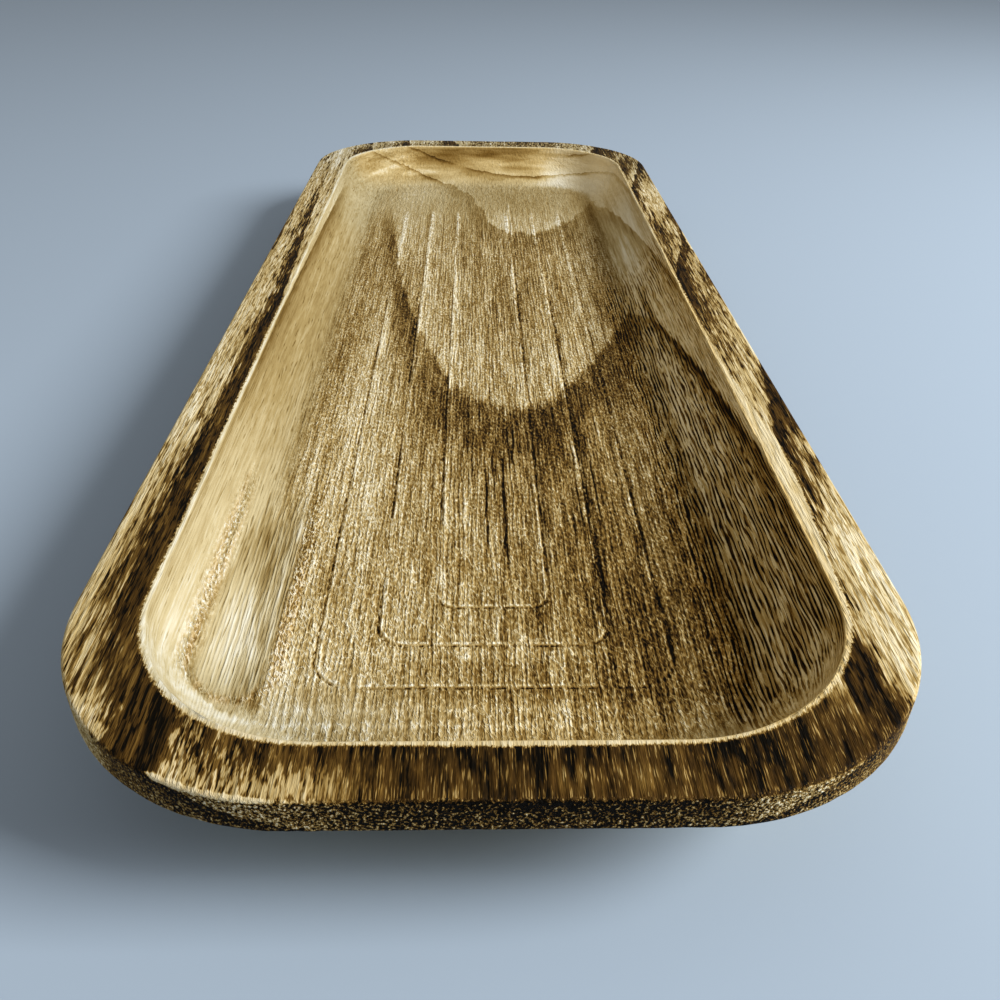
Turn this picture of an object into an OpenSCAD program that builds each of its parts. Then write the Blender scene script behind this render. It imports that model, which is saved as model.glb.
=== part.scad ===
// Dough bowl: a long shallow bowl carved from one flat-sawn block of light wood.
// The grain runs along Y, the front end faces -Y and the rim faces up.
// The resting face lies on z = 0, centred under the block.

/* [Block] */
// Width across the rim, outside to outside
bowl_w = 190.5; // [180:0.5:240]
// Length along the grain, outside to outside
bowl_l = 508; // [400:1:620]
// Height from the resting face to the rim
bowl_h = 38; // [34:0.5:55]
// Corner radius of the outline, seen from above
corner_r = 56.3; // [54:0.1:66]

/* [Rim] */
// Width of the flat rim along each side
rim_side = 15.6; // [10:0.1:18]
// Width of the flat rim across the front end
rim_front = 13.9; // [10:0.1:18]
// Width of the flat rim across the back end
rim_back = 15.5; // [10:0.1:18]
// Rounding of the rim's outer edge
outer_ease = 1; // [0.4:0.1:3]
// Rounding of the rim's inner edge
inner_ease = 0.9; // [0.4:0.1:2]

/* [Outside] */
// Height of the upright edge band under the rim
band_h = 8.5; // [6:0.5:14]
// Rounding of the band's lower edge
band_ease = 1.2; // [0.4:0.1:3]
// Distance that the underside draws in between the band and the resting face
under_run = 36; // [28:0.5:42]
// Rounding where the underside meets the resting face
foot_r = 30; // [8:0.5:36]

/* [Hollow] */
// Depth of the flat floor below the rim
hollow_depth = 20; // [14:0.5:24]
// Radius of the cove that joins the floor to the wall
cove_r = 20; // [10:0.5:26]
// Corner radius of the hollow's mouth, seen from above
mouth_corner_r = 44.2; // [36:0.1:52]
// Shift of the hollow towards +X, by which the right rim is the narrower
hollow_shift = 0.5; // [-1.5:0.1:1.5]

/* [Hidden] */
$fn = 96;

// Height of the hollow's floor and of the band's lower edge
floor_z = bowl_h - hollow_depth;
band_z = bowl_h - band_h;

// Slope of the underside, in degrees above the resting face
under_slope = atan2(band_z, under_run);

// The hollow's mouth, inside edge to inside edge, and its middle along Y
mouth_w = bowl_w - 2 * rim_side;
mouth_l = bowl_l - rim_front - rim_back;
mouth_y = (rim_front - rim_back) / 2;

// Height and horizontal run of the cove
cove_top = min(cove_r, hollow_depth);
cove_run = sqrt(2 * cove_r * cove_top - cove_top * cove_top);

// How far a cutter stands past what it cuts
cut_over = 4;

// A round crosses the flats beside it at this small angle, in degrees, and never only touches them
crease = 3;

// Length from a corner to where a round of radius r that turns by a degrees starts
function round_length(r, a) = r * tan(a / 2);

// What a round takes off the corner inside the box from low to high
module off_corner(low, high, centre, r) {
    difference() {
        translate(low) square(high - low);
        translate(centre) circle(r / cos(crease));
    }
}

// Moves a section drawn inwards from its outer edge out to reach, and cuts it at its middle plane
module out_to(reach) {
    intersection() {
        translate([reach, 0]) children();
        translate([0, -cut_over]) square([reach + cut_over, bowl_h + 3 * cut_over]);
    }
}

// Half of the block's section, from its middle plane out to reach
module outer_section(reach) {
    foot = round_length(foot_r, under_slope);
    band = round_length(band_ease, 90 - under_slope);
    along = [cos(under_slope), sin(under_slope)];
    back = -reach - cut_over;
    out_to(reach) difference() {
        polygon([[back, 0], [-under_run, 0], [0, band_z], [0, bowl_h], [back, bowl_h]]);
        off_corner(
            [-under_run - foot, -cut_over],
            [-under_run, 0] + foot * along + [cut_over, 0],
            [-under_run - foot, foot_r],
            foot_r
        );
        off_corner(
            [0, band_z] - band * along - [0, cut_over],
            [cut_over, band_z + band],
            [-band_ease, band_z + band],
            band_ease
        );
        off_corner(
            [-outer_ease, bowl_h - outer_ease],
            [cut_over, bowl_h + cut_over],
            [-outer_ease, bowl_h - outer_ease],
            outer_ease
        );
    }
}

// Half of the hollow's section, from its middle plane out to the mouth at reach
module hollow_section(reach) {
    back = -reach - cut_over;
    wall_x = -inner_ease;
    flat_x = wall_x - cove_run;
    top_z = bowl_h + cut_over;
    out_to(reach) {
        difference() {
            polygon([[back, floor_z], [wall_x, floor_z], [wall_x, top_z], [back, top_z]]);
            off_corner(
                [flat_x, floor_z - cut_over],
                [cut_over, floor_z + cove_top],
                [flat_x, floor_z + cove_r],
                cove_r
            );
        }
        off_corner(
            [2 * wall_x, bowl_h - inner_ease],
            [0, top_z],
            [0, bowl_h - inner_ease],
            inner_ease
        );
    }
}

// Carries a section round a rectangle w by l with corners of radius r.
// The first child is the section of the long middle, drawn out to w / 2.
// The second child is the section of the ends and corners, drawn out to r.
module carried_round(w, l, r) {
    straight_w = w - 2 * r;
    straight_l = l - 2 * r;
    translate([0, straight_l / 2, 0]) rotate([90, 0, 0]) linear_extrude(height = straight_l) {
        children(0);
        mirror([1, 0]) children(0);
    }
    for (turn = [0, 180]) rotate([0, 0, turn]) {
        translate([-straight_w / 2, straight_l / 2, 0]) rotate([90, 0, 90])
            linear_extrude(height = straight_w) children(1);
        translate([straight_w / 2, straight_l / 2, 0]) rotate_extrude(angle = 90) children(1);
        translate([-straight_w / 2, straight_l / 2, 0]) rotate([0, 0, 90]) rotate_extrude(angle = 90) children(1);
    }
}

// The whole bowl, one piece of wood from rim to resting face
module bowl_body() {
    color("#a98a5c") difference() {
        carried_round(bowl_w, bowl_l, corner_r) {
            outer_section(bowl_w / 2);
            outer_section(corner_r);
        }
        translate([hollow_shift, mouth_y, 0]) carried_round(mouth_w, mouth_l, mouth_corner_r) {
            hollow_section(mouth_w / 2);
            hollow_section(mouth_corner_r);
        }
    }
}

bowl_body();
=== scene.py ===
"""Looks of the dough bowl: one carved, burnt and brushed block of wide-ringed wood on a plain floor."""

import math

import bmesh
import bpy
import numpy as np
from mathutils import Matrix, Vector


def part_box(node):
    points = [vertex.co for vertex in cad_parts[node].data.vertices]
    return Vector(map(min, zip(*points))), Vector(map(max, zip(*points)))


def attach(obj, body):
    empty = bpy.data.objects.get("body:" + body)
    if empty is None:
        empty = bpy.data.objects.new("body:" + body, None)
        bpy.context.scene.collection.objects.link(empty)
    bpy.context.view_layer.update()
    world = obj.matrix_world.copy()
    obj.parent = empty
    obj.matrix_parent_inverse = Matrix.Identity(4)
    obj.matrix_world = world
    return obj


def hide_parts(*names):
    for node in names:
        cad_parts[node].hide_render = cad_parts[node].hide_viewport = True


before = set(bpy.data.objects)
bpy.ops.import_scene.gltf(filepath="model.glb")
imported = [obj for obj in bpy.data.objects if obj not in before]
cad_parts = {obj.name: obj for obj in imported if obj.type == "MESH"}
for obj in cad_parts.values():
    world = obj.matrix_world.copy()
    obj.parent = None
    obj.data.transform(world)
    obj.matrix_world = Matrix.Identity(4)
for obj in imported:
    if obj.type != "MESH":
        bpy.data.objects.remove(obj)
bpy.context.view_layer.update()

# Lengths below are in millimetres, in the frame of the CAD model; Blender's own lengths are metres.
MM = 0.001

# The block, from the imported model
BLOCK_LOW, BLOCK_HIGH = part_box("bowl_body")
BLOCK_W, BLOCK_L, BLOCK_H = ((BLOCK_HIGH - BLOCK_LOW) / MM)[:]

# The outline and the rim
OUTLINE_R = 56.3
RIM_SIDE = 15.6
RIM_FRONT = 13.9
RIM_BACK = 15.5
OUTER_EASE = 1.0
INNER_EASE = 0.9

# The outside below the rim
BAND_H = 8.5
BAND_EASE = 1.2
UNDER_RUN = 36.0
FOOT_R = 30.0

# The hollow
HOLLOW_DEPTH = 20.0
COVE_R = 20.0
MOUTH_R = 44.2
HOLLOW_SHIFT = 0.5
MOUTH_W = BLOCK_W - 2 * RIM_SIDE
MOUTH_L = BLOCK_L - RIM_FRONT - RIM_BACK
MOUTH_Y = (RIM_FRONT - RIM_BACK) / 2
FLOOR_Z = BLOCK_H - HOLLOW_DEPTH

# How far in from the mouth the floor starts
FOOT_IN = INNER_EASE + COVE_R

# The surface lies this far inside the block, so that torn fibres stay inside it too
SKIN = 0.2

# Router passes on the floor: nested rounded rectangles, one step apart, round a line of half length
# PASS_INNER_L; the radii of their corners are listed from that line out
PASS_STEP = 14.42
PASS_CENTRE = (0.15, -1.64)
PASS_INNER_L = 160.9
PASS_RADII = (0.0, 5.0, 7.5, 10.0)

# How plainly the edge of each pass shows, from the innermost out
PASS_SHOWS = (1.0, 1.0, 0.8)

# Rings of the mesh beside each pass's edge, in mm, and between two passes, as shares of a step
EDGE_RINGS = (-1.2, -0.8, -0.4, 0, 0.4, 0.8)
BETWEEN_RINGS = (0.2, 0.35, 0.5, 0.65, 0.8)

# Rings of the mesh over the rest of the section, from the resting face up and in to the floor
BASE_RINGS = 6
FOOT_RINGS = 5
SLOPE_RINGS = 8
BAND_FOOT_RINGS = 4
BAND_RINGS = 7
EASE_RINGS = 5
RIM_RINGS = 12
COVE_RINGS = 24
FLOOR_RINGS = 8

# Points round each ring of the mesh: on a long side, a short end and a corner
SIDE_POINTS = 250
END_POINTS = 48
CORNER_POINTS = 42

# Depth of the floor's torn fibres, its ridges and grooves, the rim's fibres and the end grain's pits
TORN_DEPTH = 0.3
RIDGE_HEIGHT = 0.22
GROOVE_DEPTH = 0.32
RIM_TORN_DEPTH = 0.16
PIT_DEPTH = 0.35

# The noise that the carving and some masks use: how many values it draws, a power of two, and the
# primes that pick one for each cell
NOISE_VALUES = 4096
NOISE_PRIMES = np.array((73856093, 19349663, 83492791))

# The growth rings are circles about the pith, whose line runs over the bowl and sinks to the back.
# Each polynomial is in y divided by half the block's length, lowest power first. At d beyond
# RING_RADIUS, RING_RATE * d - RING_SLOWING * d * d rings have passed.
PITH_X = (13.6, 17.02, 2.7, -5.04)
PITH_Z = (206.4, -16.2, -0.23, 1.86, -1.68)
RING_RADIUS = 193.28
RING_RATE = 0.0731
RING_SLOWING = 0.000453

# How dark the wood is through a ring, from its first wood to its last
EARLY_WOOD = (
    (0.0, (1, 1, 1)),
    (0.1, (0.9, 0.9, 0.9)),
    (0.22, (0.5, 0.5, 0.5)),
    (0.5, (0.2, 0.2, 0.2)),
    (0.97, (0, 0, 0)),
    (1.0, (1, 1, 1)),
)

# Where the rings stray from the circles: centre (x, y), size (x, y) and distance along the radius
RING_STRAYS = (
    ((-14, 178), (16, 40), 2.4),
    ((16, 122), (24, 14), 0.3),
    ((5, -20), (60, 90), 0.5),
    ((-15, -50), (14, 30), -0.3),
)

# The black ring line on the right wall: its y, and its distance from the middle plane over the cove
SEAM_Y = (-200, -150, -134, -113, -64, 5)
SEAM_ACROSS = (91, 90.2, 89.2, 86, 81, 71.4)
SEAM_WIDTH = 1.2

# The pale strip at the foot of the left wall, a rounded rectangle, and the fuzz round it
STRIP_HALF_W = 10
STRIP_HALF_L = 100
STRIP_CENTRE = (-62, -111)
FELT_WIDTH = 1.6

# The wood's sRGB colours by tone, from burnt, 0, to bare, 1, and past it where the light wood is palest
WOOD_TONES = (
    (0.0, (9, 6, 2)),
    (0.2, (71, 49, 16)),
    (0.4, (117, 89, 39)),
    (0.6, (156, 130, 76)),
    (0.8, (193, 171, 119)),
    (1.0, (226, 213, 176)),
    (1.25, (248, 240, 214)),
)

# Mean tones: in the hollow, on the rim, where the wood is bare and where it is burnt
HOLLOW_TONE = 0.72
RIM_TONE = 0.68
BARE_TONE = 0.88
BURNT_TONE = 0.22

# How much paler the router's ridges are painted than the floor, a painted highlight, and how much darker
# its grooves are painted, a painted shadow
RIDGE_HIGHLIGHT_TONE = 0.38
GROOVE_SHADOW_TONE = 0.55

# What the colour is multiplied by where heat browned the wood, on its golden walls and in the painted
# light of the far right corner, and where it greyed
WARM_TINT = (1.12, 0.94, 0.74, 1.0)
GOLDEN_TINT = (1.1, 0.97, 0.7, 1.0)
GREY_TINT = (0.88, 1.0, 1.33, 1.0)

# Soft patches of the hollow: centre (x, y), size (x, y) and change of tone
HOLLOW_SPOTS = (
    # the left wall and its foot
    ((-75, -40), (4, 80), -0.06),
    ((-66, -20), (9, 110), -0.16),
    ((-62, -130), (8, 80), -0.03),
    ((-61, -187), (8, 24), 0.2),
    ((-58, -40), (5, 60), -0.1),
    ((-55, 114), (4, 12), 0.08),
    ((-54, -185), (2, 24), -0.14),
    # the left of the floor
    ((-46, 10), (5, 60), 0.08),
    ((-45, -202), (24, 18), 0.1),
    ((-43, -155), (1.8, 36), -0.14),
    ((-42, 30), (4, 45), 0.07),
    ((-41, -16), (3, 20), 0.08),
    ((-40, -80), (12, 100), 0.12),
    ((-38, -195), (5, 20), -0.08),
    ((-36, 48), (5, 38), -0.27),
    ((-31.5, -150), (1.6, 36), -0.14),
    # the middle of the floor, with the dark foot of the ring's U
    ((-15, -70), (11, 12), -0.13),
    ((-12, -125), (12, 30), 0.08),
    ((-8, -205), (10, 12), -0.08),
    ((5, 100), (7, 50), 0.05),
    ((12, -88), (22, 14), -0.1),
    ((13, 10), (8, 60), -0.07),
    ((18, 25), (30, 45), -0.1),
    ((20, -74), (12, 12), -0.13),
    ((22, 112), (26, 30), 0.1),
    # the crescent that the router left inside its first pass
    ((-17, -162), (1.5, 6), -0.15),
    ((-14, -166), (1.4, 5), 0.25),
    ((-12.5, -173), (3, 1.6), 0.2),
    # the right of the floor and the right wall
    ((40, -170), (24, 60), -0.37),
    ((47, -45), (10, 30), -0.17),
    ((50, -195), (16, 25), -0.1),
    ((54, 20), (7, 45), -0.17),
    ((58, -20), (5, 80), 0.06),
    ((58, 70), (8, 50), -0.14),
    ((60, -10), (7, 60), 0.06),
    ((65, 130), (5, 55), -0.15),
    ((71, -50), (6, 80), 0.26),
    # bands across the front
    ((0, -194.5), (50, 2.4), 0.09),
    ((5, -199.5), (45, 1.4), -0.12),
    ((10, -207.5), (50, 4), -0.09),
    ((0, -213), (70, 1.3), 0.12),
    ((0, -217.5), (70, 1.0), 0.14),
    ((-55, -222), (30, 12), -0.07),
    # the far end of the floor
    ((-76, 190), (6, 40), -0.05),
    ((-66, 205), (16, 26), -0.03),
    ((-35, 195), (20, 30), 0.1),
    ((-30, 215), (14, 20), 0.1),
    ((20, 180), (14, 22), -0.06),
    ((30, 226), (34, 9), 0.1),
    ((50, 200), (10, 30), 0.06),
    ((55, 145), (4, 20), 0.12),
    ((57, 156), (4, 20), 0.12),
    ((72, 158), (3, 26), -0.12),
    # painted light: the far right corner of the hollow is made paler where light falls on it
    ((72, 214), (9, 22), 0.24),
    ((74, 226), (5, 10), 0.1),
    # brown stains on the far wall
    ((-33, 237), (14, 1.6), -0.2),
    ((-20, 236), (9, 2), -0.16),
    ((9, 237.6), (17, 1.4), -0.3),
    ((38, 231), (7, 5), -0.1),
    ((43, 237.5), (14, 1.5), -0.2),
)

# Soft patches of the rim, in the same form
RIM_SPOTS = (
    # the left side
    ((-94, 75), (3, 35), -0.25),
    ((-93, -195), (2.5, 36), 0.2),
    ((-93, 20), (3.5, 200), 0.12),
    ((-92, -95), (4, 40), 0.15),
    ((-92, 140), (4, 90), 0.2),
    ((-90, -40), (5, 60), 0.12),
    ((-90, 35), (4, 20), 0.12),
    ((-88, 170), (6, 50), 0.15),
    ((-88, 215), (7, 20), 0.25),
    ((-87, -25), (4, 25), 0.12),
    ((-87, 60), (5, 150), 0.25),
    ((-84, -178), (5, 26), -0.25),
    ((-84, -40), (4, 30), -0.2),
    ((-82, -140), (4, 30), -0.12),
    ((-80.5, -105), (3.5, 45), -0.38),
    ((-79, -175), (4, 42), -0.42),
    # the front, from left to right
    ((-82, -235), (7, 8), 0.4),
    ((-72, -236), (5, 10), -0.25),
    ((-69, -238), (5, 12), -0.25),
    ((-42, -243), (12, 6), -0.12),
    ((-40, -250), (24, 5), 0.16),
    ((-34, -251), (9, 3), 0.2),
    ((12, -250), (22, 4), 0.12),
    ((30, -247), (9, 12), 0.12),
    ((50, -247), (10, 12), -0.24),
    ((76, -236), (8, 10), -0.1),
    # the right side
    ((81, -206), (4, 9), 0.16),
    ((82, -110), (4, 45), 0.15),
    ((82, 25), (4, 50), -0.25),
    ((82, 98), (3, 14), 0.12),
    ((82, 190), (5, 16), -0.3),
    ((86, -155), (4, 12), -0.14),
    ((86, 85), (6, 25), -0.25),
    ((87, 30), (4, 16), 0.15),
    ((88, -220), (6, 11), 0.35),
    ((88, 54), (4, 14), -0.16),
    ((88, 90), (5, 110), 0.14),
    ((88, 130), (4, 30), 0.12),
    ((88, 208), (6, 16), -0.25),
    ((89, -180), (9, 34), 0.46),
    ((90, 150), (6, 30), 0.2),
    ((92, -128), (3, 14), 0.25),
    ((92, -100), (5, 50), -0.08),
    ((92, 70), (3, 120), 0.14),
    ((92, 94), (3, 14), -0.14),
    ((94, 12), (3, 8), -0.3),
    ((94, 95), (3, 24), -0.28),
    # the back
    ((-70, 238), (8, 8), 0.3),
    ((-48, 247), (10, 4), 0.14),
    ((-40, 250), (24, 5), 0.14),
    ((86, 232), (6, 8), -0.15),
)

# Open cracks and pale scratches along the floor's grain: x, lowest and highest y, half the width
# and change of tone
GRAIN_LINES = (
    (-1.0, -160, -104, 0.5, -0.5),
    (4.6, -170, -96, 0.55, -0.5),
    (1.4, -134, -88, 0.45, -0.45),
    (8.0, -112, -76, 0.4, -0.35),
    (-5.5, -120, -72, 0.35, -0.35),
    (27.5, -146, -88, 0.35, -0.3),
    (33.0, -136, -78, 0.4, -0.3),
    (-25.2, -186, -140, 0.5, 0.16),
    (-28.8, -188, -130, 0.4, 0.14),
    (0.8, 106, 162, 0.6, 0.2),
    (15.6, 108, 190, 0.6, 0.22),
    (29.8, 98, 132, 0.6, 0.18),
)
GRAIN_LINE_TAPER = 12

# How far the strands of fibre shift from one router pass to the next, in radians, and how far the
# curled fibres slant, as x over y
STRAND_SHIFT = 2.1
CURL_SLANT = 0.4

# The wood's surface: reach of its bump in metres, its sheen, and its roughness from burnt to bare
BUMP_REACH = 0.0012
WOOD_SHEEN = 0.04
BURNT_ROUGHNESS = 0.6
BARE_ROUGHNESS = 0.9

# The camera, found by fitting the rim's outlines in the photograph
CAMERA_AT = (-5.413, -361.487, 174.776)
CAMERA_YAW, CAMERA_PITCH, CAMERA_ROLL = (math.radians(a) for a in (2.089, 33.752, 1.265))
CAMERA_LENS = 33.292
SENSOR_WIDTH = 36

# How near and how far the camera sees, in metres
CAMERA_NEAR = 0.01
CAMERA_FAR = 50

# The lamp, in metres, with the place that it faces, and the even light of the room
KEY_AT = (1.35, -0.45, 0.95)
KEY_FACES = (0, 0, 0.02)
KEY_SIZE = 0.7
KEY_WATTS = 44
ROOM_COLOUR = (0.97, 0.96, 0.95, 1.0)
ROOM_STRENGTH = 0.38

# The floor that the bowl stands on, in metres from the middle, its sRGB colour and its roughness
STAGE_REACH = 12.0
STAGE_COLOUR = (158, 174, 190)
STAGE_ROUGHNESS = 0.9


def value_noise(points, cell, seed):
    """Smooth noise from 0 to 1 at points, with the cell's size along x, y and z."""
    table = np.random.default_rng(seed).random(NOISE_VALUES)
    q = points / np.array(cell, float)
    base = np.floor(q).astype(np.int64)
    part = q - base
    part = part * part * (3 - 2 * part)
    total = np.zeros(len(points))
    for corner in np.ndindex(2, 2, 2):
        key = np.bitwise_xor.reduce((base + np.array(corner)) * NOISE_PRIMES, axis=1)
        weight = np.prod(np.where(np.array(corner) == 1, part, 1 - part), axis=1)
        total += weight * table[key & (NOISE_VALUES - 1)]
    return total


def smooth(low, high, value):
    """0 below low and 1 above high, with a smooth rise between; high may be the lower one."""
    t = np.clip((value - low) / (high - low), 0, 1)
    return t * t * (3 - 2 * t)


def bell(away, width):
    """1 where the distance is 0, faded out at about twice the width."""
    return np.exp(-(away / width) ** 2)


def spot(points, centre, size):
    """A soft round mask, 1 at the centre (x, y) and faded out at about twice the size (x, y)."""
    away = ((points[:, 0] - centre[0]) / size[0]) ** 2 + ((points[:, 1] - centre[1]) / size[1]) ** 2
    return np.exp(-away)


def patches(points, spots):
    """The sum of soft spots, each given as its centre (x, y), its size (x, y) and its change."""
    total = np.zeros(len(points))
    for centre, size, change in spots:
        total += change * spot(points, centre, size)
    return total


def round_rect_distance(points, half_w, half_l, r, centre):
    """Distance outwards from a rounded rectangle, seen from above; negative inside."""
    qx = np.abs(points[:, 0] - centre[0]) - (half_w - r)
    qy = np.abs(points[:, 1] - centre[1]) - (half_l - r)
    outside = np.hypot(np.maximum(qx, 0), np.maximum(qy, 0))
    return outside + np.minimum(np.maximum(qx, qy), 0) - r


def ring_points(half_w, half_l, r, centre, z):
    """One ring of the mesh round a rounded rectangle, with the same count of points at any size."""
    x, y = half_w - r, half_l - r
    stretches = []
    corners = ((x, y, 0), (-x, y, 90), (-x, -y, 180), (x, -y, 270))
    straights = (((half_w, -y), (half_w, y), SIDE_POINTS), ((x, half_l), (-x, half_l), END_POINTS),
                 ((-half_w, y), (-half_w, -y), SIDE_POINTS), ((-x, -half_l), (x, -half_l), END_POINTS))
    for (start, end, count), (cx, cy, turn) in zip(straights, corners):
        t = np.arange(count)[:, None] / count
        stretches.append(np.array(start) * (1 - t) + np.array(end) * t)
        a = np.radians(turn + 90 * np.arange(CORNER_POINTS) / CORNER_POINTS)
        stretches.append(np.column_stack([cx + r * np.cos(a), cy + r * np.sin(a)]))
    flat = np.vstack(stretches) + np.array(centre)
    return np.column_stack([flat, np.full(len(flat), z)])


def arc(centre, r, start, end, count):
    """Points of a section's round, as (distance in, height), from one angle in degrees to another."""
    a = np.radians(np.linspace(start, end, count))
    return [(centre[0] + r * math.cos(t), centre[1] + r * math.sin(t)) for t in a]


def inner_shares(count):
    """Even shares of a stretch, without its two ends."""
    return np.linspace(0, 1, count + 2)[1:-1]


def base_rings(half_w, half_l, flat_in):
    """Rings over the resting face, from its middle line out."""
    rings = []
    for share in np.linspace(0, 1, BASE_RINGS + 1)[:-1]:
        inner_w = (half_w - flat_in) * share
        inner_r = (OUTLINE_R - flat_in) * share
        rings.append(ring_points(inner_w, half_l - half_w + inner_w, inner_r, (0, 0), 0))
    return rings


def outer_rings():
    """Rings from the middle of the resting face, out and up to the rim's outer edge."""
    band_z = BLOCK_H - BAND_H
    slope = math.degrees(math.atan2(band_z, UNDER_RUN))
    foot = FOOT_R * math.tan(math.radians(slope / 2))
    band = BAND_EASE * math.tan(math.radians((90 - slope) / 2))
    flat_in = UNDER_RUN + foot
    half_w = BLOCK_W / 2 - SKIN
    half_l = BLOCK_L / 2 - SKIN
    profile = arc((flat_in, FOOT_R), FOOT_R, -90, -90 - slope, FOOT_RINGS)
    start, end = np.array(profile[-1]), np.array((0.0, band_z))
    end = end + band * np.array((math.cos(math.radians(slope)), -math.sin(math.radians(slope))))
    profile += [tuple(start + (end - start) * t) for t in inner_shares(SLOPE_RINGS)]
    profile += arc((BAND_EASE, band_z + band), BAND_EASE, -90 - slope, -180, BAND_FOOT_RINGS)
    low, high = profile[-1][1], BLOCK_H - SKIN - OUTER_EASE
    profile += [(0, low + (high - low) * t) for t in inner_shares(BAND_RINGS)]
    profile += arc((OUTER_EASE, high), OUTER_EASE, 180, 90, EASE_RINGS)
    rings = base_rings(half_w, half_l, flat_in)
    for inset, z in profile:
        rings.append(ring_points(half_w - inset, half_l - inset, OUTLINE_R - SKIN - inset, (0, 0), z))
    return rings


def rim_rings():
    """Rings across the flat rim, from the outer edge to the hollow's mouth."""
    outer = np.array([BLOCK_W / 2 - SKIN - OUTER_EASE, BLOCK_L / 2 - SKIN - OUTER_EASE,
                      OUTLINE_R - SKIN - OUTER_EASE, 0, 0])
    mouth = np.array([MOUTH_W / 2, MOUTH_L / 2, MOUTH_R, HOLLOW_SHIFT, MOUTH_Y])
    rings = []
    for t in np.linspace(0, 1, RIM_RINGS + 1)[1:]:
        half_w, half_l, r, x, y = outer * (1 - t) + mouth * t
        rings.append(ring_points(half_w, half_l, r, (x, y), BLOCK_H - SKIN))
    return rings


def wall_rings():
    """Rings over the mouth's eased edge and down the cove to the floor."""
    top = BLOCK_H - SKIN
    profile = arc((0, top - INNER_EASE), INNER_EASE, 90, 0, EASE_RINGS)[1:]
    for a in np.radians(np.linspace(5, 90, COVE_RINGS)):
        profile.append((FOOT_IN - COVE_R * math.cos(a), BLOCK_H - HOLLOW_DEPTH * math.sin(a)))
    centre = (HOLLOW_SHIFT, MOUTH_Y)
    return [ring_points(MOUTH_W / 2 - inset, MOUTH_L / 2 - inset, MOUTH_R - inset, centre, z)
            for inset, z in profile]


def pass_shape(k):
    """Half width, half length, corner radius and centre of router pass k, whole or between two."""
    last = len(PASS_RADII) - 1
    r = np.interp(k, range(last + 1), PASS_RADII) + PASS_STEP * max(k - last, 0)
    return PASS_STEP * k, PASS_INNER_L + PASS_STEP * k, r, PASS_CENTRE


def floor_rings():
    """Rings from the cove's foot in to the floor's middle line, closest beside each pass's edge."""
    foot = np.array([MOUTH_W / 2 - FOOT_IN, MOUTH_L / 2 - FOOT_IN, MOUTH_R - FOOT_IN,
                     HOLLOW_SHIFT, MOUTH_Y])
    last = len(PASS_RADII) - 1
    half_w, half_l, r, centre = pass_shape(last)
    outside = max(-offset for offset in EDGE_RINGS)
    outermost = np.array([half_w, half_l, r, *centre]) + (outside, outside, outside, 0, 0)
    rings = []
    for t in np.linspace(0, 1, FLOOR_RINGS + 1)[1:]:
        half_w, half_l, r, x, y = foot * (1 - t) + outermost * t
        rings.append(ring_points(half_w, half_l, r, (x, y), FLOOR_Z))
    steps = {0.0}
    for k in range(1, last + 1):
        steps |= {k + offset / PASS_STEP for offset in EDGE_RINGS}
        steps |= {k - share for share in BETWEEN_RINGS}
    return rings + [ring_points(*pass_shape(k), FLOOR_Z) for k in sorted(steps, reverse=True)]


def bowl_surface():
    """The bowl's closed surface, a grid of rings with its two middle lines sewn up."""
    rings = outer_rings() + rim_rings() + wall_rings() + floor_rings()
    count = len(rings[0])
    points = np.vstack(rings)
    mesh = bpy.data.meshes.new("bowl")
    column = np.arange(count)
    beside = (column + 1) % count
    faces = []
    for row in range(len(rings) - 1):
        low, high = row * count, (row + 1) * count
        faces.append(np.column_stack([low + column, low + beside, high + beside, high + column]))
    mesh.from_pydata((points * MM).tolist(), [], np.vstack(faces).tolist())
    sewn = bmesh.new()
    sewn.from_mesh(mesh)
    bmesh.ops.remove_doubles(sewn, verts=sewn.verts, dist=1e-7)
    bmesh.ops.dissolve_degenerate(sewn, edges=sewn.edges, dist=1e-8)
    sewn.to_mesh(mesh)
    sewn.free()
    mesh.update()
    return mesh


def read_points(mesh, what):
    """The mesh's vertex places (in mm) or normals as an array."""
    values = np.empty(len(mesh.vertices) * 3, np.float32)
    mesh.vertices.foreach_get(what, values)
    values = values.reshape(-1, 3).astype(float)
    return values / MM if what == "co" else values


def mouth_distance(points):
    """Distance in from the hollow's mouth, seen from above; negative on the rim and outside."""
    return -round_rect_distance(points, MOUTH_W / 2, MOUTH_L / 2, MOUTH_R, (HOLLOW_SHIFT, MOUTH_Y))


def outline_distance(points):
    """Distance in from the block's outline, seen from above."""
    return -round_rect_distance(points, BLOCK_W / 2, BLOCK_L / 2, OUTLINE_R, (0, 0))


def across_grain(points):
    """Distance from the middle plane, measured over the floor and on up the cove's curve."""
    foot = MOUTH_W / 2 - FOOT_IN
    x = points[:, 0] - HOLLOW_SHIFT
    past = np.maximum(np.abs(x) - foot, 0)
    turn = np.arctan2(np.minimum(past, COVE_R), np.maximum(FLOOR_Z + COVE_R - points[:, 2], 0))
    return np.sign(x) * (np.minimum(np.abs(x), foot) + COVE_R * turn + np.maximum(past - COVE_R, 0))


def pass_marks(points):
    """Where the ridge and the groove lie along the edge of each router pass: raised and sunk in the
    relief, and painted as a pale highlight and a dark shadow in the colour.
    """
    ridge = np.zeros(len(points))
    groove = np.zeros(len(points))
    far = smooth(-60, 120, points[:, 1])
    width = 0.42 + 0.3 * far
    for k, plainly in enumerate(PASS_SHOWS, 1):
        away = round_rect_distance(points, *pass_shape(k))
        shows = plainly * smooth(0.1, 0.6, value_noise(points, (2.5, 30, 8), seed=11 + k))
        shows *= smooth(172, 160, points[:, 1])
        ridge += shows * bell(away + 1.1 * width, width)
        groove += shows * (1 - 0.8 * far) * bell(away - 0.8 * width, width)
    return ridge, groove


def passes_round(points):
    """How many router passes lie round each place of the floor, which grows towards the middle."""
    total = np.zeros(len(points))
    for k in range(1, len(PASS_RADII)):
        total += smooth(0.3, -0.3, round_rect_distance(points, *pass_shape(k)))
    return total


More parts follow.
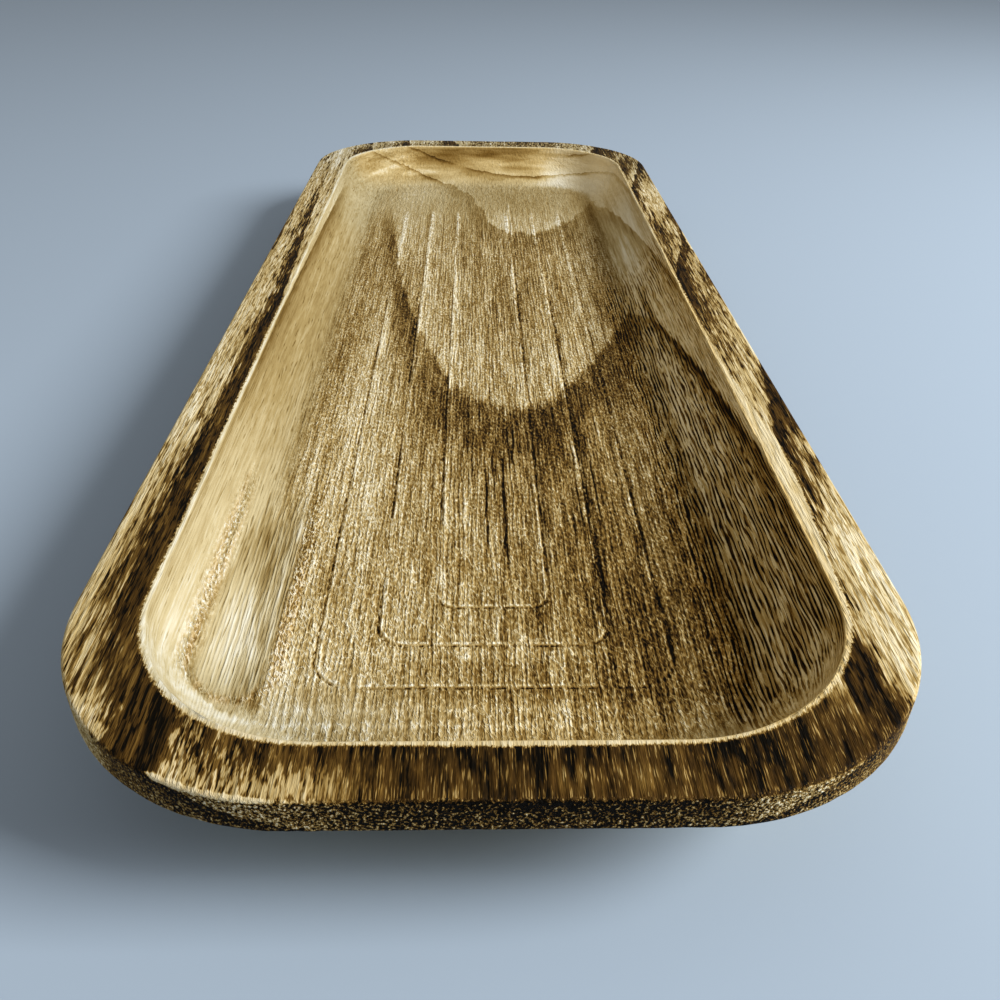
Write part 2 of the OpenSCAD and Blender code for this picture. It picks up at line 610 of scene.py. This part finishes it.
def carve(mesh):
    """Moves the surface for torn fibres, pits and the router's passes, and keeps it in the block."""
    points = read_points(mesh, "co")
    normals = read_points(mesh, "normal")
    inward = mouth_distance(points)
    on_floor = smooth(FOOT_IN - 2, FOOT_IN + 1, inward)
    fine = value_noise(points, (2.4, 14, 2.4), seed=1)
    coarse = value_noise(points, (5, 60, 5), seed=2)
    torn = 0.4 * fine + 0.8 * coarse - 0.6
    ridge, groove = pass_marks(points)
    rise = on_floor * (TORN_DEPTH * torn + RIDGE_HEIGHT * ridge - GROOVE_DEPTH * groove)
    rim = (inward < 0) & (points[:, 2] > BLOCK_H - OUTER_EASE)
    rise += np.where(rim, RIM_TORN_DEPTH * torn, 0)
    end_face = np.abs(normals[:, 1]) ** 2 * (inward < 0)
    rise -= PIT_DEPTH * end_face * value_noise(points, (1.3, 1.3, 1.3), seed=3)
    points = points + normals * rise[:, None]
    points[:, 2] = np.clip(points[:, 2], 0, BLOCK_H)
    mesh.vertices.foreach_set("co", (points * MM).astype(np.float32).ravel())
    mesh.update()


def seam_line(points):
    """A black ring line that climbs the right wall to the mouth, and the paler wood above it."""
    past = across_grain(points) - np.interp(points[:, 1], SEAM_Y, SEAM_ACROSS)
    shows = smooth(-208, -190, points[:, 1]) * smooth(60, 10, points[:, 1]) * (mouth_distance(points) > 0)
    return shows * bell(past, SEAM_WIDTH), shows * smooth(0.5, 2.5, past)


def felt_band(points):
    """A band of torn fuzz round the pale strip at the foot of the left wall, and the strip itself."""
    away = round_rect_distance(points, STRIP_HALF_W, STRIP_HALF_L, STRIP_HALF_W, STRIP_CENTRE)
    near = smooth(-105, -150, points[:, 1])
    return near * bell(away, FELT_WIDTH), near * smooth(0, -3, away)


class Regions:
    """Soft masks of the bowl's parts at each vertex, from 0 to 1, which the painting shares."""

    def __init__(self, mesh):
        self.points = read_points(mesh, "co")
        self.x, self.y, self.z = self.points.T
        self.facing_end = np.abs(read_points(mesh, "normal")[:, 1])
        self.inward = mouth_distance(self.points)
        self.rim = smooth(0.3, -0.3, self.inward)
        self.hollow = 1 - self.rim
        self.floor = smooth(COVE_R - 9, COVE_R + 3, self.inward)
        self.end_wall = self.hollow * smooth(0.12, 0.6, self.facing_end)
        self.right_wall = smooth(48, 60, self.x) * smooth(90, 20, self.y) * self.hollow
        past_floor = smooth(COVE_R + 3, COVE_R - 6, self.inward)
        self.left_wall = smooth(-50, -62, self.x) * past_floor * self.hollow
        self.far = smooth(90, 212, self.y)
        self.felt, self.strip = felt_band(self.points)
        self.left_pale = np.maximum(self.left_wall, self.strip)
        self.seam, self.above_seam = seam_line(self.points)


def hollow_mean_tone(at):
    """Mean tone of the bare wood in the hollow."""
    wall = smooth(COVE_R, COVE_R - 8, at.inward)
    left = smooth(-20, -50, at.x) * wall
    right = smooth(20, 50, at.x) * wall
    tone = HOLLOW_TONE + 0.05 * smooth(100, 200, at.y) + patches(at.points, HOLLOW_SPOTS)
    tone += left * (0.06 + 0.06 * smooth(-60, -160, at.y))
    tone += right * (0.21 + 0.11 * smooth(20, 60, at.y)) - 0.1 * smooth(130, 200, at.y)
    crease = bell(at.inward - 3.3, 0.8) * spot(at.points, (-66, -225), (9, 11))
    return tone - 0.12 * at.felt - 0.5 * at.seam - 0.25 * crease + 0.12 * at.above_seam


def rim_mean_tone(at):
    """Mean tone of the burnt and brushed rim and outside."""
    cloudy = value_noise(at.points, (7, 34, 20), seed=21) - 0.5
    tone = RIM_TONE + 0.14 * cloudy + patches(at.points, RIM_SPOTS)
    browned = 0.1 * smooth(-70, -50, at.x) + 0.1 * smooth(8, 1, -at.inward)
    return tone - smooth(-222, -240, at.y) * browned


def mouth_bare(at):
    """How far past the hollow's mouth the rim was left bare of burning."""
    right = 5.0 * bell(at.y + 135, 48) * (at.x > 0)
    front = 0.6 * spot(at.points, (6, -240), (26, 6)) + 0.5 * spot(at.points, (-60, -232), (16, 16))
    return 0.25 + right + front


def worn_edge(at):
    """Where the rim's outer edge is rubbed pale: here and there, and along the left of the front."""
    top_edge = smooth(BLOCK_H - 1.6, BLOCK_H - 0.7, at.z)
    edge = bell(outline_distance(at.points) - 0.7, 0.6) * top_edge
    worn = smooth(0.62, 0.8, value_noise(at.points, (9, 30, 14), seed=31)) * smooth(-235, -200, at.y)
    front = smooth(-67, -63, at.x) * smooth(-34, -48, at.x) * smooth(-225, -235, at.y)
    return edge * np.maximum(worn, front)


def ring_masks(at):
    """Masks for the growth rings: how they stray, how thin and how plain their dark wood is."""
    plain = 0.85 * spot(at.points, (-63, -182), (12, 40)) + 0.95 * spot(at.points, (-64, 200), (18, 35))
    plain += smooth(232, 235, at.y) * smooth(-24, -12, at.x)
    plain += 0.55 * smooth(110, 190, at.y) * (1 - at.end_wall)
    return {
        "shift": patches(at.points, RING_STRAYS),
        "thin": 1 + 7 * at.end_wall,
        "ringed": 1 - np.minimum(plain, 1),
        "banded": at.end_wall * smooth(120, 200, at.y),
    }


def fibre_masks(at):
    """Masks for the fibres in the hollow: torn on the floor, felted or combed on the walls."""
    calm = (1 - at.end_wall) * (1 - 0.92 * at.far) * (1 - 0.6 * spot(at.points, (-42, -213), (30, 9)))
    furrowed = 0.3 + 0.7 * smooth(-30, 10, at.x) * smooth(-225, -195, at.y) * smooth(80, -20, at.y)
    stranded = 0.25 + 0.75 * at.floor + 0.9 * at.right_wall * (1 - at.floor)
    fibrous = (0.3 + 0.4 * at.floor + 0.2 * at.right_wall) * (1 - 0.8 * at.far)
    grainy = (0.8 - 0.6 * at.end_wall) * (1 - 0.75 * at.far)
    return {
        "across": across_grain(at.points),
        "level": passes_round(at.points) * at.hollow,
        "torn": calm * (at.floor * (1 - at.strip) + at.felt * at.hollow),
        "strand": calm * at.hollow * stranded * (0.75 + 0.25 * smooth(-40, 0, at.x)),
        "furrow": 0.7 * calm * at.floor * furrowed * smooth(48, 30, at.x),
        "fibrous": fibrous * (1 - 0.85 * at.end_wall),
        "grainy": grainy * (1 - 0.6 * at.left_pale),
        "mottled": at.hollow * at.far * (1 - 0.5 * at.end_wall * smooth(-50, -30, at.x)),
        "combed": np.maximum(at.strip, 0.6 * at.left_wall) * smooth(0, -60, at.y),
    }


def vessel_masks(at):
    """Masks for the open vessels: on the right wall, and sparse on the left one."""
    vessel = at.right_wall * (1 - 0.6 * at.above_seam) + 0.24 * at.left_wall
    return {
        "vessel": vessel * (1 - at.end_wall),
        "sparse": 1.15 * at.left_wall,
    }


def rim_masks(at):
    """Masks for the rim and the outside: burnt ends, browned front, bare mouth and worn edge."""
    smoked = smooth(-222, -236, at.y) * smooth(-52, -8, at.x) * smooth(84, 76, at.x)
    return {
        "rim": at.rim,
        "short": smooth(218, 236, np.abs(at.y)),
        "smoked": at.rim * smoked,
        "inward": at.inward,
        "lip": at.inward + mouth_bare(at),
        "bare": worn_edge(at),
        "end": at.facing_end ** 3 * at.rim * smooth(BLOCK_H - 0.4, BLOCK_H - 1, at.z),
        "end tone": 0.14 + 0.3 * smooth(-20, -45, at.x) + 0.52 * smooth(38, 56, at.x),
    }


def colour_masks(at):
    """Masks for the mean tone, the router's lines with their painted highlight and shadow, and the tints.
    """
    ridge, groove = pass_marks(at.points)
    golden = 0.35 * at.end_wall * smooth(20, 30, at.z) * smooth(-58, -42, at.x) + at.right_wall
    # painted light: the far right corner of the hollow is also made more golden
    golden += 0.8 * at.hollow * spot(at.points, (72, 190), (20, 40))
    pale = 0.75 * at.left_pale + at.hollow * spot(at.points, (-50, -222), (30, 16))
    pale += 0.7 * at.far * at.hollow * (1 - 0.75 * smooth(45, 62, at.x))
    pale = np.minimum(pale, 1) * (1 - 0.7 * at.end_wall * at.far)
    return {
        "tone": at.rim * rim_mean_tone(at) + at.hollow * hollow_mean_tone(at),
        # the router's ridges painted pale, a painted highlight, and its grooves painted dark, a painted
        # shadow
        "mark": (RIDGE_HIGHLIGHT_TONE * ridge - GROOVE_SHADOW_TONE * groove) * at.hollow,
        "warm": 0.15 * at.rim * smooth(-225, -240, at.y) + 0.6 * at.felt * at.hollow,
        "golden": np.minimum(golden, 1),
        "grey": at.rim * (0.65 * smooth(120, 225, at.y) + 0.08) + pale,
    }


def paint(mesh):
    """Keeps the soft masks that the wood's material reads, one number for each vertex."""
    at = Regions(mesh)
    for masks in (rim_masks(at), colour_masks(at), ring_masks(at), fibre_masks(at), vessel_masks(at)):
        for name, values in masks.items():
            made = mesh.attributes.new(name, "FLOAT", "POINT")
            made.data.foreach_set("value", np.asarray(values, np.float32))


class Graph:
    """Short calls that add nodes to one material's tree and return the socket they end in."""

    def __init__(self, tree):
        self.tree = tree

    def node(self, kind, **settings):
        made = self.tree.nodes.new(kind)
        for name, value in settings.items():
            setattr(made, name, value)
        return made

    def plug(self, socket, value):
        if isinstance(value, bpy.types.NodeSocket):
            self.tree.links.new(value, socket)
        else:
            socket.default_value = value

    def math(self, operation, a, b=0.0, c=0.0):
        made = self.node("ShaderNodeMath", operation=operation)
        for socket, value in zip(made.inputs, (a, b, c)):
            self.plug(socket, value)
        return made.outputs[0]

    def add(self, a, b):
        return self.math("ADD", a, b)

    def less(self, a, b):
        return self.math("SUBTRACT", a, b)

    def times(self, a, b):
        return self.math("MULTIPLY", a, b)

    def layer(self, base, value, weight):
        """The base plus the value times the weight."""
        return self.math("MULTIPLY_ADD", value, weight, base)

    def blend(self, share, a, b):
        """a where the share is 0 and b where it is 1, for plain numbers."""
        return self.add(a, self.times(share, self.less(b, a)))

    def span(self, value, low, high, to_low=0.0, to_high=1.0):
        """A smooth rise from one number to another between low and high."""
        made = self.node("ShaderNodeMapRange", interpolation_type="SMOOTHSTEP", clamp=True)
        for socket, number in zip(made.inputs, (value, low, high, to_low, to_high)):
            self.plug(socket, number)
        return made.outputs[0]

    def split(self, place):
        """The place's x, y and z."""
        made = self.node("ShaderNodeSeparateXYZ")
        self.plug(made.inputs[0], place)
        return made.outputs

    def stretched(self, place, size):
        """The place divided by a size along x, y and z."""
        made = self.node("ShaderNodeVectorMath", operation="DIVIDE")
        self.plug(made.inputs[0], place)
        self.plug(made.inputs[1], size)
        return made.outputs[0]

    def noise(self, place, size, detail=2.0, roughness=0.5, distortion=0.0):
        """Noise from 0 to 1, with the size of its grains along x, y and z."""
        made = self.node("ShaderNodeTexNoise", noise_dimensions="3D")
        self.plug(made.inputs["Vector"], self.stretched(place, size))
        made.inputs["Scale"].default_value = 1.0
        made.inputs["Detail"].default_value = detail
        made.inputs["Roughness"].default_value = roughness
        made.inputs["Distortion"].default_value = distortion
        return made.outputs[0]

    def stray(self, *place_and_size):
        """Noise about 0."""
        return self.less(self.noise(*place_and_size), 0.5)

    def ramp(self, value, stops):
        made = self.node("ShaderNodeValToRGB")
        marks = made.color_ramp.elements
        while len(marks) < len(stops):
            marks.new(0.5)
        for mark, (place, colour) in zip(marks, stops):
            mark.position = place
            mark.color = (*colour, 1.0)
        self.plug(made.inputs[0], value)
        return made.outputs[0]

    def tint(self, share, colour, by):
        """The colour multiplied by another, as far as the share says."""
        made = self.node("ShaderNodeMix", data_type="RGBA", blend_type="MULTIPLY")
        for name, value in (("Factor", share), ("A", colour), ("B", by)):
            socket = [s for s in made.inputs if s.name == name and s.enabled][0]
            self.plug(socket, value)
        return [s for s in made.outputs if s.enabled][0]

    def attribute(self, name):
        made = self.node("ShaderNodeAttribute", attribute_name=name)
        return made.outputs["Fac"]

    def polynomial(self, x, terms):
        total = terms[-1]
        for term in reversed(terms[:-1]):
            total = self.math("MULTIPLY_ADD", total, x, term)
        return total


def linear(colour):
    """An sRGB colour of 0 to 255 as the linear values that Blender uses."""
    shares = [c / 255 for c in colour]
    return tuple(c / 12.92 if c <= 0.04045 else ((c + 0.055) / 1.055) ** 2.4 for c in shares)


def ring_phase(g, place):
    """How far through its growth ring the wood is at each place, from 0 at its first wood to 1."""
    x, y, z = g.split(place)
    along = g.times(y, 2 / BLOCK_L)
    dx = g.less(x, g.polynomial(along, PITH_X))
    dz = g.less(z, g.polynomial(along, PITH_Z))
    radius = g.math("SQRT", g.add(g.times(dx, dx), g.times(dz, dz)))
    wander = g.times(g.stray(place, (1.5, 12, 1.5)), 1.2)
    ragged = g.times(g.stray(place, (6, 26, 6)), 3.5)
    wander = g.layer(wander, ragged, g.attribute("mottled"))
    past = g.add(g.less(radius, RING_RADIUS), g.add(wander, g.attribute("shift")))
    return g.math("FRACT", g.times(past, g.less(RING_RATE, g.times(past, RING_SLOWING))))


def strands(g, place, pitch, stray, length, loose):
    """Fibres side by side along the grain: above 0 on a fibre and below 0 in the gap beside it.

    Each router pass shifts them, so that they break at its edge.
    """
    shifted = g.times(g.attribute("level"), STRAND_SHIFT)
    phase = g.layer(shifted, g.attribute("across"), math.tau / pitch)
    phase = g.layer(phase, g.stray(place, (3 * pitch, 2 * length, 3 * pitch), 1), stray)
    return g.layer(g.math("COSINE", phase), g.stray(place, (pitch, length, pitch), 2), loose)


def curls(g, place):
    """Thin curled lines of torn fibre, slanted over the floor, 1 on a line."""
    slanted = g.node("ShaderNodeVectorMath", operation="MULTIPLY_ADD")
    g.plug(slanted.inputs[0], g.split(place)[1])
    g.plug(slanted.inputs[1], (CURL_SLANT, 0, 0))
    g.plug(slanted.inputs[2], place)
    level = g.stray(slanted.outputs[0], (1.1, 3.6, 1.1), 1.0)
    return g.span(g.math("ABSOLUTE", level), 0.05, 0.015)


def grain_lines(g, place):
    """Change of tone by the open cracks and the pale scratches that run along the floor's grain."""
    x, y, z = g.split(place)
    at = g.layer(x, g.stray(place, (4, 16, 4), 1), 2.0)
    total = 0.0
    for line_x, low, high, width, change in GRAIN_LINES:
        away = g.math("ABSOLUTE", g.less(at, line_x))
        inside = g.times(g.span(away, width, 0.4 * width), g.span(y, low, low + GRAIN_LINE_TAPER))
        total = g.layer(total, g.times(inside, g.span(y, high, high - GRAIN_LINE_TAPER)), change)
    floor = g.times(g.span(z, FLOOR_Z + 1.5, FLOOR_Z + 0.6), g.less(1.0, g.attribute("rim")))
    return g.times(total, floor)


def hollow_layers(g, place):
    """What lies over the carved wood's mean tone, each with its weight in the tone and in the depth.

    In turn: strands, combed wood, curls, fuzz, furrows, cracks and scratches, vessels and mottling.
    """
    torn = g.attribute("torn")
    fine = g.span(strands(g, place, 1.35, 12, 11, 9), -0.8, 0.8, -0.5, 0.5)
    furrow = g.span(g.noise(place, (0.9, 40, 0.9), 2), 0.43, 0.36)
    open_line = g.less(strands(g, place, 1.2, 14, 9, 4.4), g.attribute("sparse"))
    dash = g.span(g.noise(place, (1.4, 9, 1.4), 2), 0.33, 0.52)
    vessel = g.times(g.span(open_line, -0.2, 0.7), dash)
    mottle = g.stray(place, (1.4, 5, 1.4), 3, 0.6, 0.6)
    return (
        # the floor's strands of fibre, paler on each fibre and darker in the gap beside it: partly the
        # wood's own colour and partly painted shade in the gaps
        (g.times(fine, g.attribute("strand")), 0.22, 0.2),
        (g.times(strands(g, place, 0.9, 7, 22, 4), g.attribute("combed")), 0.024, 0.05),
        (g.times(curls(g, place), torn), 0.27, 0.2),
        (g.times(g.stray(place, (0.6, 1.6, 0.6), 1), torn), 1.0, 0.42),
        (g.times(furrow, g.attribute("furrow")), -0.3, -0.25),
        (grain_lines(g, place), 1.0, 0.5),
        (g.times(vessel, g.attribute("vessel")), -0.8, -0.45),
        (g.times(mottle, g.attribute("mottled")), 0.45, 0.9),
    )


def hollow_tone(g, place, early, fibre, grain):
    """Tone and depth of the carved wood: torn fibres on the floor, open vessels on the walls."""
    tone = g.layer(g.attribute("tone"), g.times(early, g.attribute("ringed")), -0.4)
    tone = g.layer(tone, fibre, g.attribute("fibrous"))
    tone = g.layer(tone, grain, g.attribute("grainy"))
    tone = g.layer(tone, g.stray(place, (22, 40, 3.5), 2), g.times(g.attribute("banded"), 0.8))
    # the painted highlight and shadow of the router's ridges and grooves, broken into dots
    dotted = g.span(g.noise(place, (0.8, 2.5, 0.8), 1), 0.38, 0.6, 0.2, 1.5)
    tone = g.layer(tone, g.attribute("mark"), dotted)
    depth = g.times(fibre, g.attribute("fibrous"))
    for value, in_tone, in_depth in hollow_layers(g, place):
        tone = g.layer(tone, value, in_tone)
        depth = g.layer(depth, value, in_depth)
    return tone, depth


def stroked_tone(g, place, early):
    """Tone of the brushed rim: burnt strokes along the grain on clean wood, with dark flecks."""
    mean = g.attribute("tone")
    long_stroke = g.noise(place, (0.75, 12, 0.75), 3, 0.65, 0.1)
    short_stroke = g.noise(place, (0.65, 4, 0.65), 2, 0.6)
    stroke = g.less(g.blend(g.attribute("short"), long_stroke, short_stroke), 0.5)
    share = g.layer(g.layer(0.36, mean, -0.6), early, 0.25)
    burnt = g.span(g.add(stroke, share), -0.08, 0.1)
    clean = g.layer(0.6, mean, 0.32)
    tone = g.layer(clean, burnt, g.less(BURNT_TONE, clean))
    fleck = g.span(g.noise(place, (0.5, 5, 0.5), 1), 0.5, 0.4)
    return g.layer(tone, fleck, g.layer(g.span(mean, 0.8, 1.0, -0.08, -0.28), burnt, -0.1))


def smoked_tone(g, place):
    """Tone of the browned front rim: streaky brown with thin pale ridges."""
    brown = g.layer(-0.17, g.attribute("tone"), 0.6)
    brown = g.layer(brown, g.stray(place, (2.2, 11, 2.2), 3, 0.6), 0.8)
    ridge = g.span(g.noise(place, (0.3, 5, 0.3), 2), 0.56, 0.68)
    return g.layer(brown, ridge, 0.42)


def rim_tone(g, place, early, fibre, grain):
    """Tone of the burnt and brushed wood of the rim and the outside."""
    smoked = g.attribute("smoked")
    tone = g.blend(smoked, stroked_tone(g, place, early), smoked_tone(g, place))
    rough = g.blend(smoked, 0.7, 0.4)
    return g.layer(g.layer(g.layer(tone, early, -0.1), fibre, rough), grain, rough)


def bare_wood(g, place, fibre):
    """Where the rim was left bare: the ragged lip of the hollow's mouth and the worn outer edge."""
    ragged = g.times(g.stray(place, (0.6, 1.4, 0.6), 2, 0.7), 2.4)
    lip = g.span(g.add(g.attribute("lip"), ragged), -0.6, 0.2)
    lip = g.times(lip, g.span(g.attribute("inward"), 1.0, 0.5))
    return g.math("MAXIMUM", lip, g.span(g.add(g.attribute("bare"), fibre), 0.3, 0.6))


def wood_colour(g, tone, grain):
    """The wood's colour for a tone, browner or golden where heat and light wood made it so, or greyer."""
    palest = WOOD_TONES[-1][0]
    colour = g.ramp(g.times(tone, 1 / palest), [(at / palest, linear(shade)) for at, shade in WOOD_TONES])
    colour = g.tint(g.times(g.attribute("warm"), g.span(grain, -0.08, 0.1)), colour, WARM_TINT)
    colour = g.tint(g.attribute("golden"), colour, GOLDEN_TINT)
    return g.tint(g.attribute("grey"), colour, GREY_TINT)


def wood_material():
    """Burnt, brushed flat-sawn wood: rings about the pith, fibres and vessels along y."""
    made = bpy.data.materials.new("torched_wood")
    made.use_nodes = True
    g = Graph(made.node_tree)
    place = g.stretched(g.node("ShaderNodeTexCoord").outputs["Object"], (MM, MM, MM))
    early = g.math("POWER", g.ramp(ring_phase(g, place), EARLY_WOOD), g.attribute("thin"))
    fibre = g.stray(place, (1.1, 14, 1.1), 3, 0.65)
    grain = g.stray(place, (2.4, 70, 2.4), 3, 0.6)
    speckle = g.stray(place, (0.6, 0.6, 0.6), 2, 0.6)
    rim, end = g.attribute("rim"), g.attribute("end")
    carved, depth = hollow_tone(g, place, early, fibre, grain)
    tone = g.blend(rim, carved, rim_tone(g, place, early, fibre, grain))
    charred = g.layer(g.attribute("end tone"), early, -0.6)
    tone = g.blend(end, tone, g.layer(charred, speckle, 4.2))
    tone = g.blend(bare_wood(g, place, fibre), tone, g.layer(BARE_TONE, fibre, 0.6))
    bump = g.node("ShaderNodeBump")
    bump.inputs["Distance"].default_value = BUMP_REACH
    bump.inputs["Strength"].default_value = 1.0
    relief = g.blend(rim, depth, g.times(fibre, 0.8))
    g.plug(bump.inputs["Height"], g.layer(relief, speckle, end))
    shader = made.node_tree.nodes["Principled BSDF"]
    shader.inputs["Specular IOR Level"].default_value = WOOD_SHEEN
    g.plug(shader.inputs["Base Color"], wood_colour(g, tone, grain))
    g.plug(shader.inputs["Roughness"], g.span(tone, 0.0, 0.8, BURNT_ROUGHNESS, BARE_ROUGHNESS))
    g.plug(shader.inputs["Normal"], bump.outputs[0])
    return made


def build_bowl():
    """The one piece of the object, which stands for the CAD's solid."""
    mesh = bowl_surface()
    carve(mesh)
    paint(mesh)
    mesh.materials.append(wood_material())
    mesh.polygons.foreach_set("use_smooth", [True] * len(mesh.polygons))
    bowl = bpy.data.objects.new("bowl", mesh)
    bpy.context.scene.collection.objects.link(bowl)
    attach(bowl, "root")
    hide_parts("bowl_body")


def add_camera():
    """A camera with the photograph's view."""
    yaw, pitch, roll = CAMERA_YAW, CAMERA_PITCH, CAMERA_ROLL
    ahead = Vector((math.sin(yaw) * math.cos(pitch), math.cos(yaw) * math.cos(pitch), -math.sin(pitch)))
    level = Vector((math.cos(yaw), -math.sin(yaw), 0))
    upright = level.cross(ahead)
    right = level * math.cos(roll) + upright * math.sin(roll)
    up = upright * math.cos(roll) - level * math.sin(roll)
    data = bpy.data.cameras.new("camera")
    data.lens = CAMERA_LENS
    data.sensor_width = SENSOR_WIDTH
    data.clip_start = CAMERA_NEAR
    data.clip_end = CAMERA_FAR
    camera = bpy.data.objects.new("camera", data)
    turn = Matrix((right, up, -ahead)).transposed().to_4x4()
    camera.matrix_world = Matrix.Translation(Vector(CAMERA_AT) * MM) @ turn
    bpy.context.scene.collection.objects.link(camera)
    bpy.context.scene.camera = camera


def add_floor():
    """A plain, matte, pale floor under the bowl."""
    material = bpy.data.materials.new("floor")
    material.use_nodes = True
    shader = material.node_tree.nodes["Principled BSDF"]
    shader.inputs["Base Color"].default_value = (*linear(STAGE_COLOUR), 1.0)
    shader.inputs["Roughness"].default_value = STAGE_ROUGHNESS
    mesh = bpy.data.meshes.new("floor")
    corners = [(x * STAGE_REACH, y * STAGE_REACH, 0) for x, y in ((-1, -1), (1, -1), (1, 1), (-1, 1))]
    mesh.from_pydata(corners, [], [(0, 1, 2, 3)])
    mesh.materials.append(material)
    floor = bpy.data.objects.new("floor", mesh)
    bpy.context.scene.collection.objects.link(floor)


def add_light():
    """A soft lamp from the right that faces the bowl, with an even fill from the room."""
    world = bpy.data.worlds.new("studio")
    world.use_nodes = True
    back = world.node_tree.nodes["Background"]
    back.inputs["Color"].default_value = ROOM_COLOUR
    back.inputs["Strength"].default_value = ROOM_STRENGTH
    bpy.context.scene.world = world
    data = bpy.data.lights.new("key", "AREA")
    data.shape = "SQUARE"
    data.size = KEY_SIZE
    data.energy = KEY_WATTS
    lamp = bpy.data.objects.new("key", data)
    lamp.location = KEY_AT
    lamp.rotation_mode = "QUATERNION"
    lamp.rotation_quaternion = (Vector(KEY_FACES) - Vector(KEY_AT)).to_track_quat("-Z", "Y")
    bpy.context.scene.collection.objects.link(lamp)


bpy.context.scene.view_settings.view_transform = "Standard"
add_camera()
add_light()
add_floor()
build_bowl()
